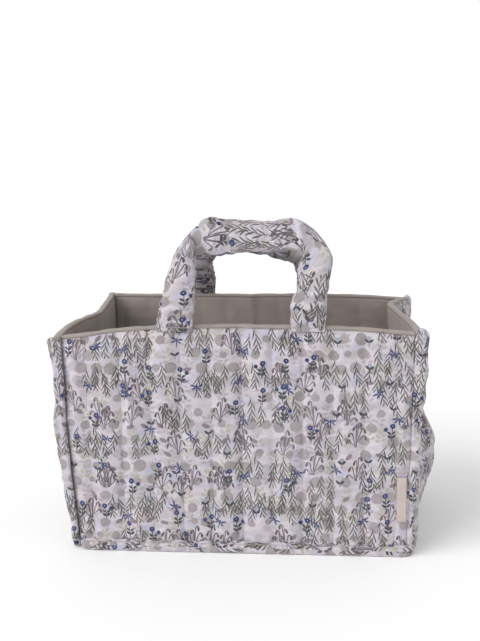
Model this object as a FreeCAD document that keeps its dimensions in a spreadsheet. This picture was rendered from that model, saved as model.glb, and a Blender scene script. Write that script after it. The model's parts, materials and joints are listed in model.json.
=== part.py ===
import FreeCAD, Part

import os
import re

import Sketcher

# A quilted, padded fabric caddy: an open-topped rectangular bag with two padded handles.
# Frame: +X to the right seen from the front, the front wall faces -Y, +Z up, millimetres.
# The origin is on the floor under the middle of the bag.

SIZES = {
    # Outline of the bag, measured to the outside of the walls.
    "rim_half_width": 168.0,
    "base_half_width": 164.5,
    "rim_half_depth": 94.0,
    "base_half_depth": 95.0,
    "wall_bottom": 1.0,
    "wall_top": 235.8,
    "rim_top": 241.0,
    # How far the middle of the front and back walls dips inwards.
    "front_dip_rim": 6.0,
    "front_dip_base": 3.0,
    "back_dip_rim": 6.0,
    "back_dip_base": 1.0,
    # End walls, which fold inwards along one vertical line.
    "end_rim_half_width": 176.0,
    "end_base_half_width": 173.1,
    "right_fold_depth": 24.0,
    "right_fold_place": 28.0,
    "left_fold_depth": 20.0,
    "left_fold_place": -20.0,
    # The three layers of every quilted wall.
    "fabric_thickness": 0.8,
    "wadding_thickness": 5.0,
    "layer_gap": 0.1,
    "piece_gap": 0.3,
    # Bound corner seams that stand out sideways, and the binding round the foot.
    "corner_rim_reach": 183.0,
    "corner_base_reach": 176.0,
    "corner_top": 238.0,
    "corner_thickness": 3.5,
    "foot_half_width": 176.2,
    "foot_half_depth": 98.2,
    "foot_thickness": 2.8,
    "foot_height": 13.0,
    # Bottom: stiff board between wadding and lining.
    "board_thickness": 2.0,
    "board_corner_radius": 8.0,
    "base_clearance": 1.0,
    # Padded handles.
    "handle_shift": 2.5,
    "handle_leg_spacing": 131.0,
    "handle_band_width": 34.0,
    "handle_thickness": 11.5,
    "handle_end_thickness": 3.0,
    "handle_taper_length": 26.0,
    "handle_hinge_height": 243.0,
    "handle_hinge_depth": 95.3,
    "handle_start": 0.8,
    "handle_bar_rise": 88.5,
    "root_depth": 92.2,
    "root_height": 5.3,
    "root_thickness": 3.0,
    "root_lean": 2.0,
    "cover_thickness": 1.0,
    "front_handle_lean": 7.5,
    "front_left_lean": 14.0,
    "front_left_radius": 32.0,
    "front_right_lean": -5.0,
    "front_right_radius": 36.0,
    "back_handle_lean": 42.0,
    "back_left_lean": 3.0,
    "back_left_radius": 34.0,
    "back_right_lean": 3.0,
    "back_right_radius": 34.0,
    # Side pockets with a gathered elastic top.
    "pocket_half_length": 82.0,
    "pocket_bottom": 13.4,
    "pocket_belly_height": 92.0,
    "pocket_top": 117.0,
    "pocket_base_end": 175.6,
    "pocket_belly_end": 176.6,
    "pocket_top_end": 177.2,
    "pocket_base_bulge": 5.0,
    "pocket_belly_bulge": 29.4,
    "pocket_top_bulge": 21.0,
    "pocket_thickness": 1.6,
    "hem_height": 8.0,
    "hem_step": 0.6,
    "elastic_height": 6.0,
    # Folded ribbon label in the front right corner seam.
    "label_width": 10.0,
    "label_height": 48.0,
    "label_bottom": 38.0,
    "label_ply": 0.4,
    "label_hinge_place": 167.5,
    "label_hinge_depth": 96.0,
}

UNIT_X = FreeCAD.Vector(1, 0, 0)
UNIT_Y = FreeCAD.Vector(0, 1, 0)
UNIT_Z = FreeCAD.Vector(0, 0, 1)
POLYGON_START_RADIUS = 50.0
BEND_STEPS = 4
POCKET_HALF_STEPS = 5

doc = FreeCAD.newDocument("GardenToolBag")
sheet = doc.addObject("Spreadsheet::Sheet", "Sizes")
for row, (alias, value) in enumerate(SIZES.items(), start=1):
    cell = f"A{row}"
    sheet.set(cell, str(value))
    sheet.setAlias(cell, alias)
doc.recompute()

pieces = []


def bound(expression):
    """The expression with each size's name pointed at the spreadsheet."""
    return re.sub(r"[a-z]+(?:_[a-z]+)+", lambda found: f"Sizes.{found[0]}", expression)


def turned_about(axis):
    """A placement with a rotation axis set, ready for an angle that comes from the spreadsheet."""
    return FreeCAD.Placement(FreeCAD.Vector(0, 0, 0), FreeCAD.Rotation(axis, 1.0))


def place(piece, position, axis, angle):
    """Move a finished piece to a position and turn it about an axis, all by expressions."""
    piece.Placement = turned_about(axis)
    for letter, expression in zip("xyz", position):
        piece.setExpression(f".Placement.Base.{letter}", bound(expression))
    piece.setExpression(".Placement.Rotation.Angle", bound(angle))


def new_body(label):
    body = doc.addObject("PartDesign::Body", label)
    body.Label = label
    pieces.append(body)
    return body


def origin_plane(body, role):
    return next(plane for plane in body.Origin.OriginFeatures if plane.Role == role)


def polygon_sketch(body, name, loops, height="0", across="0", lean="0"):
    """Closed polygons on a plane parallel to the body's XY plane, or leaning about Y by some degrees.

    Each loop is a list of (x, y) expressions. The plane's own origin is at x = across, z = height.
    """
    sketch = body.newObject("Sketcher::SketchObject", name)
    sketch.AttachmentSupport = [(origin_plane(body, "XY_Plane"), "")]
    sketch.MapMode = "FlatFace"
    sketch.AttachmentOffset = turned_about(UNIT_Y)
    sketch.setExpression(".AttachmentOffset.Base.x", bound(across))
    sketch.setExpression(".AttachmentOffset.Base.z", bound(height))
    sketch.setExpression(".AttachmentOffset.Rotation.Angle", bound(lean))
    for corners in loops:
        first = sketch.GeometryCount
        count = len(corners)
        turn = FreeCAD.Rotation(UNIT_Z, 360.0 / count)
        start = POLYGON_START_RADIUS * UNIT_X
        for _ in corners:
            end = turn.multVec(start)
            sketch.addGeometry(Part.LineSegment(start, end), False)
            start = end
        for step, (x, y) in enumerate(corners):
            line = first + step
            following = first + (step + 1) % count
            sketch.addConstraint(Sketcher.Constraint("Coincident", line, 2, following, 1))
            for kind, expression in (("DistanceX", x), ("DistanceY", y)):
                index = sketch.addConstraint(Sketcher.Constraint(kind, -1, 1, line, 1, 1.0))
                sketch.setExpression(f"Constraints[{index}]", bound(expression))
    return sketch


def loft(body, name, sketches, kind="PartDesign::AdditiveLoft"):
    """Straight-sided solid through the sketches, in order."""
    feature = body.newObject(kind, name)
    feature.Profile = (sketches[0], [""])
    feature.Sections = [(sketch, [""]) for sketch in sketches[1:]]
    feature.Ruled = True
    return feature


def pad(body, name, sketch, length):
    feature = body.newObject("PartDesign::Pad", name)
    feature.Profile = sketch
    feature.setExpression("Length", bound(length))
    return feature


def strip(line, inward, near, far):
    """Corners of the band between two distances from a line, measured along the direction inward."""
    step_x, step_y = inward
    near_edge = [(f"{x} + {step_x} * ({near})", f"{y} + {step_y} * ({near})") for x, y in line]
    far_edge = [(f"{x} + {step_x} * ({far})", f"{y} + {step_y} * ({far})") for x, y in line]
    return near_edge + far_edge[::-1]


# Each wall is three layers, given as distances in from the wall's outer face.
SHELL_FAR = "fabric_thickness"
WADDING_NEAR = "fabric_thickness + layer_gap"
WADDING_FAR = "fabric_thickness + layer_gap + wadding_thickness"
LINING_NEAR = "fabric_thickness + 2 * layer_gap + wadding_thickness"
WALL_THICKNESS = "2 * fabric_thickness + 2 * layer_gap + wadding_thickness"
LAYERS = {
    "shell": ("0", SHELL_FAR),
    "wadding": (WADDING_NEAR, WADDING_FAR),
    "lining": (LINING_NEAR, WALL_THICKNESS),
}


def long_wall_line(side, face, level):
    """Outer line of the front (side -1) or back (side 1) wall at the base or the rim."""
    half_width = f"{level}_half_width"
    depth = f"{level}_half_depth"
    dip = f"{face}_dip_{level}"
    return [
        (f"-{half_width}", f"{side} * {depth}"),
        ("0", f"{side} * ({depth} - {dip})"),
        (half_width, f"{side} * {depth}"),
    ]


def end_wall_line(side, face, level):
    """Outer line of the left (side -1) or right (side 1) end wall, folded inwards at the rim."""
    half_width = f"end_{level}_half_width"
    half_length = f"({level}_half_depth - corner_thickness - piece_gap)"
    fold = f"{face}_fold_depth" if level == "rim" else "0"
    return [
        (f"{side} * {half_width}", f"-{half_length}"),
        (f"{side} * ({half_width} - {fold})", f"{face}_fold_place"),
        (f"{side} * {half_width}", half_length),
    ]


def make_wall(face, side, line, inward):
    """Shell, wadding and lining of one wall, and the band that closes them at the rim."""
    for layer, (near, far) in LAYERS.items():
        body = new_body(f"{face}_{layer}")
        sketches = []
        for level, height in (("base", "wall_bottom"), ("rim", "wall_top")):
            corners = strip(line(side, face, level), inward, near, far)
            sketches.append(polygon_sketch(body, f"{face}_{layer}_{level}", [corners], height))
        loft(body, f"{face}_{layer}_panel", sketches)
    band = new_body(f"rim_binding_{face}")
    corners = strip(line(side, face, "rim"), inward, "0", WALL_THICKNESS)
    sketch = polygon_sketch(band, f"{face}_rim_outline", [corners], "wall_top + layer_gap")
    pad(band, f"{face}_rim_band", sketch, "rim_top - wall_top - layer_gap")


def make_corner_binding(name, side_x, side_y):
    """Bound seam allowance at one upright corner: a flat strip that stands out sideways."""
    body = new_body(f"corner_binding_{name}")
    sketches = []
    for level, height in (("base", "foot_height + piece_gap"), ("rim", "corner_top")):
        seam = f"{side_x} * ({level}_half_width + piece_gap)"
        reach = f"{side_x} * corner_{level}_reach"
        outer = f"{side_y} * {level}_half_depth"
        inner = f"{side_y} * ({level}_half_depth - corner_thickness)"
        corners = [(seam, outer), (reach, outer), (reach, inner), (seam, inner)]
        sketches.append(polygon_sketch(body, f"{name}_{level}", [corners], height))
    loft(body, f"{name}_strip", sketches)


def rectangle(half_width, half_depth):
    return [
        (f"-({half_width})", f"-({half_depth})"),
        (half_width, f"-({half_depth})"),
        (half_width, half_depth),
        (f"-({half_width})", half_depth),
    ]


def round_upright_edges(body, base, name, radius, beyond=0.0):
    """Fillet the upright edges of the last feature whose |x| + |y| is more than beyond."""
    doc.recompute()
    upright = []
    for number, edge in enumerate(base.Shape.Edges, start=1):
        start, end = edge.Vertexes[0].Point, edge.Vertexes[-1].Point
        is_upright = edge.Length > 0 and abs(abs(end.z - start.z) - edge.Length) < edge.Length / 1000
        if is_upright and abs(start.x) + abs(start.y) > beyond:
            upright.append(f"Edge{number}")
    fillet = body.newObject("PartDesign::Fillet", name)
    fillet.Base = (base, upright)
    fillet.setExpression("Radius", bound(radius))


def make_foot_binding():
    """Ring of binding round the foot, outside the walls."""
    body = new_body("base_binding")
    outer = rectangle("foot_half_width", "foot_half_depth")
    inner = rectangle("foot_half_width - foot_thickness", "foot_half_depth - foot_thickness")
    sketch = polygon_sketch(body, "foot_outline", [outer, inner])
    ring = pad(body, "foot_ring", sketch, "foot_height")
    outer_reach = SIZES["foot_half_width"] + SIZES["foot_half_depth"] - SIZES["foot_thickness"]
    round_upright_edges(body, ring, "foot_corners", "foot_thickness", outer_reach)


def make_base():
    """Bottom of the bag, in four flat layers: the outer one spans the foot, the others lie inside."""
    half_width = f"end_base_half_width - ({WALL_THICKNESS}) - base_clearance"
    half_depth = f"base_half_depth - ({WALL_THICKNESS}) - front_dip_base - base_clearance"
    foot_width = "foot_half_width - foot_thickness - layer_gap"
    foot_depth = "foot_half_depth - foot_thickness - layer_gap"
    wadding_floor = "fabric_thickness + layer_gap"
    board_floor = f"{wadding_floor} + wadding_thickness + layer_gap"
    lining_floor = f"{board_floor} + board_thickness + layer_gap"
    layers = {
        "base_shell": (foot_width, foot_depth, "0 * fabric_thickness", "fabric_thickness"),
        "base_wadding": (half_width, half_depth, wadding_floor, "wadding_thickness"),
        "base_lining": (half_width, half_depth, lining_floor, "fabric_thickness"),
    }
    for label, (wide, deep, floor, thickness) in layers.items():
        slab = doc.addObject("Part::Box", label)
        slab.Label = label
        slab.setExpression("Length", bound(f"2 * ({wide})"))
        slab.setExpression("Width", bound(f"2 * ({deep})"))
        slab.setExpression("Height", bound(thickness))
        slab.setExpression(".Placement.Base.x", bound(f"-({wide})"))
        slab.setExpression(".Placement.Base.y", bound(f"-({deep})"))
        slab.setExpression(".Placement.Base.z", bound(floor))
        pieces.append(slab)
    board = new_body("base_board")
    sketch = polygon_sketch(board, "board_outline", [rectangle(half_width, half_depth)], board_floor)
    board_sheet = pad(board, "board_sheet", sketch, "board_thickness")
    round_upright_edges(board, board_sheet, "board_corners", "board_corner_radius")


def handle_stations(face, name, side):
    """Half of a handle's path, from one root up its leg and round the bend to the bar.

    Each station is the band's centre across and up from the hinge line, the angle of the path from
    upright, and the band's thickness there. The first one lies flat along the rim.
    """
    lean = f"{face}_{name}_lean"
    radius = f"{face}_{name}_radius"
    leg_length = f"((handle_bar_rise - {radius} * (1 - sin({lean}))) / cos({lean}))"
    taper = "handle_taper_length"
    stations = [
        ("0 * handle_start", "handle_start", "0", "handle_end_thickness"),
        (f"{taper} * sin({lean})", f"{taper} * cos({lean})", lean, "handle_thickness"),
    ]
    for step in range(BEND_STEPS + 1):
        angle = f"({lean} + (90 - {lean}) * {step / BEND_STEPS})"
        along = f"{leg_length} * sin({lean}) + {radius} * (cos({lean}) - cos({angle}))"
        up = f"{leg_length} * cos({lean}) + {radius} * (sin({angle}) - sin({lean}))"
        stations.append((along, up, angle, "handle_thickness"))
    return [
        (f"{side} * (handle_leg_spacing / 2 - ({along}))", up, f"90 + {side} * (90 - {angle})", thickness)
        for along, up, angle, thickness in stations
    ]


def band_section(half_width, half_thickness):
    """Eight corners of the padded band's section: a rectangle with cut corners."""
    cut = f"({half_thickness}) / 2"
    quarter = [
        (f"({half_width})", f"({half_thickness}) - {cut}"),
        (f"({half_width}) - {cut}", f"({half_thickness})"),
    ]
    corners = quarter + [(f"-({x})", y) for x, y in quarter[::-1]]
    return corners + [(f"-({x})", f"-({y})") for x, y in corners]


def handle_loft(body, name, stations, skin, kind="PartDesign::AdditiveLoft"):
    """Loft of the band along its stations, a skin's thickness inside its outer face."""
    sketches = []
    for number, (across, up, angle, thickness) in enumerate(stations):
        section = band_section(f"handle_band_width / 2 - ({skin})", f"{thickness} / 2 - ({skin})")
        sketches.append(polygon_sketch(body, f"{name}_{number}", [section], up, across, angle))
    return loft(body, name, sketches, kind)


def make_handle(face, side):
    """Padded handle: a cover with a wadding core, and its two sewn-in roots on the wall."""
    stations = handle_stations(face, "left", -1) + handle_stations(face, "right", 1)[::-1]
    hinge = ("handle_shift", f"{side} * handle_hinge_depth", "handle_hinge_height")
    cover = new_body(f"{face}_handle_cover")
    handle_loft(cover, f"{face}_cover_outside", stations, "0")
    hollow = "PartDesign::SubtractiveLoft"
    handle_loft(cover, f"{face}_cover_inside", stations[1:-1], "cover_thickness", hollow)
    core = new_body(f"{face}_handle_core")
    handle_loft(core, f"{face}_core_wadding", stations[1:-1], "cover_thickness + layer_gap")
    for piece in (cover, core):
        place(piece, hinge, UNIT_X, f"{side} * {face}_handle_lean")
    for name, end in (("left", -1), ("right", 1)):
        root = new_body(f"{face}_handle_root_{name}")
        outline = rectangle("handle_band_width / 2", "root_thickness / 2")
        sketch = polygon_sketch(root, f"{face}_{name}_root_outline", [outline])
        pad(root, f"{face}_{name}_root_pad", sketch, "root_height")
        across = f"handle_shift + {end} * handle_leg_spacing / 2"
        position = (across, f"{side} * root_depth", "wall_top + layer_gap")
        place(root, position, UNIT_Z, f"{side * end} * root_lean")


def pocket_line(side, level):
    """Outer line of a side pocket at one height: a shallow parabola from seam to seam."""
    line = []
    for step in range(-POCKET_HALF_STEPS, POCKET_HALF_STEPS + 1):
        place_along = step / POCKET_HALF_STEPS
        bulge = f"pocket_{level}_bulge * {1 - place_along ** 2}"
        across = f"{side} * (pocket_{level}_end + {bulge})"
        line.append((across, f"{place_along} * pocket_half_length"))
    return line


def make_pocket(name, side):
    """Gathered side pocket: panel, hem and the elastic inside the hem."""
    inward = (-side, 0)
    panel = new_body(f"{name}_pocket_panel")
    sketches = []
    heights = {"base": "pocket_bottom", "belly": "pocket_belly_height", "top": "pocket_top"}
    for level, height in heights.items():
        corners = strip(pocket_line(side, level), inward, "0", "pocket_thickness")
        sketches.append(polygon_sketch(panel, f"{name}_pocket_{level}", [corners], height))
    loft(panel, f"{name}_pocket_sheet", sketches)

    hem = new_body(f"{name}_pocket_hem")
    top_line = pocket_line(side, "top")
    outline = strip(top_line, inward, "-hem_step", "pocket_thickness + hem_step")
    channel_near = "fabric_thickness - hem_step"
    channel_far = "pocket_thickness + hem_step - fabric_thickness"
    channel = strip(top_line, inward, channel_near, channel_far)
    hem_floor = "pocket_top + layer_gap"
    pad(hem, f"{name}_hem_pad", polygon_sketch(hem, f"{name}_hem", [outline], hem_floor), "hem_height")
    channel_floor = f"{hem_floor} + (hem_height - elastic_height) / 2 - layer_gap"
    slot = hem.newObject("PartDesign::Pocket", f"{name}_hem_channel")
    slot.Profile = polygon_sketch(hem, f"{name}_channel", [channel], channel_floor)
    slot.Reversed = True
    slot.setExpression("Length", bound("elastic_height + 2 * layer_gap"))

    elastic = new_body(f"{name}_pocket_elastic")
    near = f"{channel_near} + layer_gap"
    far = f"{channel_far} - layer_gap"
    band = strip(top_line, inward, near, far)
    elastic_floor = f"{hem_floor} + (hem_height - elastic_height) / 2"
    sketch = polygon_sketch(elastic, f"{name}_elastic", [band], elastic_floor)
    pad(elastic, f"{name}_elastic_band", sketch, "elastic_height")


def make_label():
    """Blank ribbon folded once, its two ends in the corner seam and its fold to the left."""
    body = new_body("side_label")
    half = "(1.5 * label_ply)"
    slit = "(0.5 * label_ply)"
    corners = [
        ("0 * label_width", half),
        ("-label_width", half),
        ("-label_width", f"-{half}"),
        ("0 * label_width", f"-{half}"),
        ("0 * label_width", f"-{slit}"),
        ("label_ply - label_width", f"-{slit}"),
        ("label_ply - label_width", slit),
        ("0 * label_width", slit),
    ]
    pad(body, "label_ribbon", polygon_sketch(body, "label_fold", [corners]), "label_height")
    place(body, ("label_hinge_place", "-label_hinge_depth", "label_bottom"), UNIT_Z, "0")


def check(piece):
    """Stop at a failed feature, an empty or invalid shape, or a piece in several solids."""
    for thing in doc.Objects:
        if {"Invalid", "Error"} & set(thing.State):
            raise RuntimeError(f"{thing.Label} failed: {thing.State}")
    if piece.Shape.isNull() or not piece.Shape.isValid():
        raise RuntimeError(f"{piece.Label} has no valid shape")
    if len(piece.Shape.Solids) != 1:
        raise RuntimeError(f"{piece.Label} has {len(piece.Shape.Solids)} solids")


make_wall("front", -1, long_wall_line, (0, 1))
make_wall("back", 1, long_wall_line, (0, -1))
make_wall("left", -1, end_wall_line, (1, 0))
make_wall("right", 1, end_wall_line, (-1, 0))
for front_or_back, side_y in (("front", -1), ("back", 1)):
    for left_or_right, side_x in (("left", -1), ("right", 1)):
        make_corner_binding(f"{front_or_back}_{left_or_right}", side_x, side_y)
make_foot_binding()
make_base()
make_handle("front", -1)
make_handle("back", 1)
make_pocket("left", -1)
make_pocket("right", 1)
make_label()

doc.recompute()
os.makedirs("parts", exist_ok=True)
for piece in pieces:
    check(piece)
for piece in pieces:
    piece.Shape.exportStep(f"parts/{piece.Label}.step")
    print(f"{piece.Label}: {piece.Shape.Volume / 1000:.2f} cm3")
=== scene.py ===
import json
import math

import bpy
import numpy as np
from mathutils import Matrix, Vector


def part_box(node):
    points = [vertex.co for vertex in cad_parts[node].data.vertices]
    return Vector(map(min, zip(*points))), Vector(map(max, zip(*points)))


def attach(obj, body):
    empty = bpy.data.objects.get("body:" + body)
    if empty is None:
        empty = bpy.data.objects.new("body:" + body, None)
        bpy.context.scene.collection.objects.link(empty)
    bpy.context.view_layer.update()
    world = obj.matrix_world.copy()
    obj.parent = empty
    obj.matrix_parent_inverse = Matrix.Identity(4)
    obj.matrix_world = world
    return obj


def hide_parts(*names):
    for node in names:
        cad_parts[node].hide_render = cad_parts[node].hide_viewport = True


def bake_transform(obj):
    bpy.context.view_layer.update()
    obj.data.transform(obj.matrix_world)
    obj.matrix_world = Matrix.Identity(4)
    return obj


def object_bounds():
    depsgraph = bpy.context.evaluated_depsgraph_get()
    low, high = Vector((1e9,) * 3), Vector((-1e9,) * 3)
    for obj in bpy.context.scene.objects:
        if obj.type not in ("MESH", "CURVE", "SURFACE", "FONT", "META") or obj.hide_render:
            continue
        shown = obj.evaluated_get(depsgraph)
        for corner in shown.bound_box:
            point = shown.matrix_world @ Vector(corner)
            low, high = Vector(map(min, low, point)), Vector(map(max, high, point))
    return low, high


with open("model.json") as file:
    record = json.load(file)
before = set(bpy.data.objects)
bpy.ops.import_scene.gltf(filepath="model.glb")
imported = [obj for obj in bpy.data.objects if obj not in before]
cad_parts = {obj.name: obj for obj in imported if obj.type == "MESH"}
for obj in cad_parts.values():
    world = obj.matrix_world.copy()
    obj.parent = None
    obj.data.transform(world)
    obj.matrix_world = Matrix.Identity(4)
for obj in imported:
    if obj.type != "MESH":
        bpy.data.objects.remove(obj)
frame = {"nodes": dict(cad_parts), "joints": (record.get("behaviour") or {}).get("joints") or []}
CAD_LOW, CAD_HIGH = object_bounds()

# A quilted fabric caddy with a small meadow print. Metres, +X right, -Y front, +Z up.
MM = 0.001
TAU = 2.0 * math.pi


# ---------------------------------------------------------------- measures from the frame

def low(node):
    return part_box(node)[0]


def high(node):
    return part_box(node)[1]


SEAM_X = high("front_shell").x
BASE_SEAM_X = SEAM_X - 3.5 * MM
WALL_Y = high("back_shell").y - 1.0 * MM
END_X = high("right_shell").x
END_Y = high("right_shell").y
RIM_Z = high("rim_binding_front").z
FLOOR_Z = low("base_shell").z
BASE_Z = high("base_lining").z
WALL_THICKNESS = high("rim_binding_front").y - low("rim_binding_front").y - 6.0 * MM
HINGE_Y = -frame["joints"][0]["pos_m"][1]
HINGE_Z = frame["joints"][0]["pos_m"][2]

QUILT_PITCH = 31.0 * MM
RIM_BAND = 4.2 * MM
PLY_GAP = 0.1 * MM


# ---------------------------------------------------------------- small mathematics

def smooth(value, start, end):
    """0 before start, 1 after end, an S-curve between."""
    share = np.clip((value - start) / (end - start), 0.0, 1.0)
    return share * share * (3.0 - 2.0 * share)


def lerp(start, end, share):
    return start + (end - start) * share


def ripple(across, up, wavelength, seed, waves=9):
    """Smooth noise of about -1 to 1, from sine waves in seeded directions."""
    draw = np.random.RandomState(seed)
    total = np.zeros(np.broadcast(across, up).shape)
    for _ in range(waves):
        heading = draw.uniform(0.0, TAU)
        frequency = TAU / (wavelength * draw.uniform(0.7, 1.5))
        phase = draw.uniform(0.0, TAU)
        total += np.sin(frequency * (across * math.cos(heading) + up * math.sin(heading)) + phase)
    return total / math.sqrt(waves)


def spline(points, steps):
    """Smooth line through rows of numbers, with the same number of steps in each span."""
    rows = np.array(points, float)
    padded = np.vstack([2 * rows[0] - rows[1], rows, 2 * rows[-1] - rows[-2]])
    line = []
    for span in range(len(rows) - 1):
        a, b, c, d = padded[span:span + 4]
        for step in range(steps):
            t = step / steps
            line.append(0.5 * (2 * b + (c - a) * t + (2 * a - 5 * b + 4 * c - d) * t ** 2
                               + (3 * b - a - 3 * c + d) * t ** 3))
    line.append(rows[-1])
    return np.array(line)


# ---------------------------------------------------------------- meshes

def finish_mesh(name, vertices, faces, corner_uvs, material):
    mesh = bpy.data.meshes.new(name)
    mesh.from_pydata([tuple(v) for v in vertices], [], faces)
    layer = mesh.uv_layers.new(name="cloth")
    layer.data.foreach_set("uv", np.array(corner_uvs, np.float32).ravel())
    mesh.polygons.foreach_set("use_smooth", [True] * len(faces))
    mesh.materials.append(material)
    mesh.validate()
    piece = bpy.data.objects.new(name, mesh)
    bpy.context.scene.collection.objects.link(piece)
    return piece


def sheet_mesh(name, front, back, cloth, material):
    """Closed thin solid between two grids of points (rows, columns, 3), with one grid of cloth places."""
    rows, columns = front.shape[:2]
    count = rows * columns
    vertices = np.vstack([front.reshape(-1, 3), back.reshape(-1, 3)])
    places = cloth.reshape(-1, 2)
    faces, uvs = [], []

    def add(*corners):
        faces.append(corners)
        uvs.extend(places[corner % count] for corner in corners)

    for row in range(rows - 1):
        for column in range(columns - 1):
            a = row * columns + column
            b, c, d = a + 1, a + columns + 1, a + columns
            add(a, b, c, d)
            add(a + count, d + count, c + count, b + count)
    border = list(range(columns))
    border += [row * columns + columns - 1 for row in range(1, rows)]
    border += [(rows - 1) * columns + column for column in range(columns - 2, -1, -1)]
    border += [row * columns for row in range(rows - 2, 0, -1)]
    for a, b in zip(border, border[1:] + border[:1]):
        add(b, a, a + count, b + count)
    return finish_mesh(name, vertices, faces, uvs, material)


def tube_mesh(name, rings, cloth, material, closed=False):
    """Tube through rings of points (rings, around, 3); cloth places are (rings, around + 1, 2)."""
    count, around = rings.shape[:2]
    faces, uvs = [], []
    spans = count if closed else count - 1
    for ring in range(spans):
        following = (ring + 1) % count
        for step in range(around):
            next_step = (step + 1) % around
            faces.append((ring * around + step, ring * around + next_step,
                          following * around + next_step, following * around + step))
            uvs.extend([cloth[ring, step], cloth[ring, step + 1],
                        cloth[ring + 1, step + 1], cloth[ring + 1, step]])
    if not closed:
        for ring, order in ((0, -1), (count - 1, 1)):
            steps = list(range(around))[::order]
            faces.append(tuple(ring * around + step for step in steps))
            uvs.extend(cloth[ring, step] for step in steps)
    return finish_mesh(name, rings.reshape(-1, 3), faces, uvs, material)


def face_outwards(piece):
    """Make every face of a closed piece point out of it."""
    import bmesh
    work = bmesh.new()
    work.from_mesh(piece.data)
    bmesh.ops.recalc_face_normals(work, faces=work.faces)
    work.to_mesh(piece.data)
    work.free()
    return piece


def stitches(name, rows, outwards, material, pitch=3.2 * MM, width=0.28 * MM):
    """Sewn thread along rows of points: one short flat bead for each stitch.

    outwards holds, for each row, the direction out of the cloth.
    """
    shares = (0.0, 0.16, 0.84, 1.0)
    sizes = (0.45, 1.0, 1.0, 0.45)
    lifts = (-0.5, 0.6, 0.6, -0.5)
    around = 5
    vertices, faces, uvs = [], [], []
    for row, out in zip(rows, outwards):
        row = np.asarray(row, float)
        run = np.concatenate([[0.0], np.cumsum(np.linalg.norm(np.diff(row, axis=0), axis=1))])
        out = np.asarray(out, float) / np.linalg.norm(out)
        for number in range(int(run[-1] / pitch)):
            places = (number + 0.14 + 0.72 * np.array(shares)) * pitch
            line = np.stack([np.interp(places, run, row[:, axis]) for axis in range(3)], axis=-1)
            along = line[-1] - line[0]
            side = np.cross(along / np.linalg.norm(along), out)
            first = len(vertices)
            for centre, size, lift in zip(line, sizes, lifts):
                for step in range(around):
                    angle = TAU * step / around
                    reach = width * size * (math.cos(angle) * side + 0.8 * math.sin(angle) * out)
                    vertices.append(centre + lift * width * out + reach)
            for ring in range(3):
                for step in range(around):
                    a = first + ring * around + step
                    b = first + ring * around + (step + 1) % around
                    faces.append((a, b, b + around, a + around))
                    uvs.extend([(places[ring], 0.0)] * 2 + [(places[ring + 1], 0.0)] * 2)
            faces.append(tuple(first + step for step in reversed(range(around))))
            faces.append(tuple(first + 3 * around + step for step in range(around)))
            uvs.extend([(places[0], 0.0)] * around + [(places[3], 0.0)] * around)
    piece = face_outwards(finish_mesh(name, vertices, faces, uvs, material))
    return piece


# ---------------------------------------------------------------- cloth simulation

CLOTH_FRAMES = 20


def grid_faces(rows, columns, closed_round=False):
    """Four-sided faces of a grid of points, joined into a tube if closed_round."""
    spans = columns if closed_round else columns - 1
    return [(row * columns + column, row * columns + (column + 1) % columns,
             (row + 1) * columns + (column + 1) % columns, (row + 1) * columns + column)
            for row in range(rows - 1) for column in range(spans)]


def swell(points, faces, pinned, pressure, spare, cap):
    """Simulate points (rows, columns, 3) as cloth that pressure swells, and return where they come to rest.

    pinned points stay, spare is the extra length of cloth, and no point moves further than cap.
    """
    scene = bpy.context.scene
    flat = points.reshape(-1, 3)
    mesh = bpy.data.meshes.new("cloth_work")
    mesh.from_pydata(flat.tolist(), [], faces)
    work = bpy.data.objects.new("cloth_work", mesh)
    scene.collection.objects.link(work)
    group = work.vertex_groups.new(name="pinned")
    group.add([int(number) for number in np.flatnonzero(pinned)], 1.0, "REPLACE")
    cloth = work.modifiers.new("cloth", "CLOTH")
    cloth.settings.quality = 5
    cloth.settings.mass = 0.1
    cloth.settings.tension_stiffness = 12.0
    cloth.settings.compression_stiffness = 12.0
    cloth.settings.shear_stiffness = 4.0
    cloth.settings.bending_stiffness = 0.15
    cloth.settings.vertex_group_mass = "pinned"
    cloth.settings.use_pressure = True
    cloth.settings.uniform_pressure_force = pressure
    cloth.settings.shrink_min = -spare
    cloth.settings.effector_weights.gravity = 0.0
    cloth.collision_settings.use_collision = False
    for number in range(1, CLOTH_FRAMES + 1):
        scene.frame_set(number)
    settled = work.evaluated_get(bpy.context.evaluated_depsgraph_get()).to_mesh()
    moved = np.empty(flat.size, np.float32)
    settled.vertices.foreach_get("co", moved)
    move = moved.reshape(-1, 3) - flat
    bpy.data.objects.remove(work)
    scene.frame_set(1)
    distance = np.linalg.norm(move, axis=1)
    limit = cap * np.tanh(distance / cap) / np.maximum(distance, 1e-9)
    return (flat + move * limit[:, None]).reshape(points.shape)


# ---------------------------------------------------------------- shader arithmetic

def linear(code):
    """Linear colour of a six-digit sRGB code."""
    parts = [int(code[place:place + 2], 16) / 255.0 for place in (0, 2, 4)]
    return [part / 12.92 if part <= 0.04045 else ((part + 0.055) / 1.055) ** 2.4 for part in parts] + [1.0]


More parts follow.
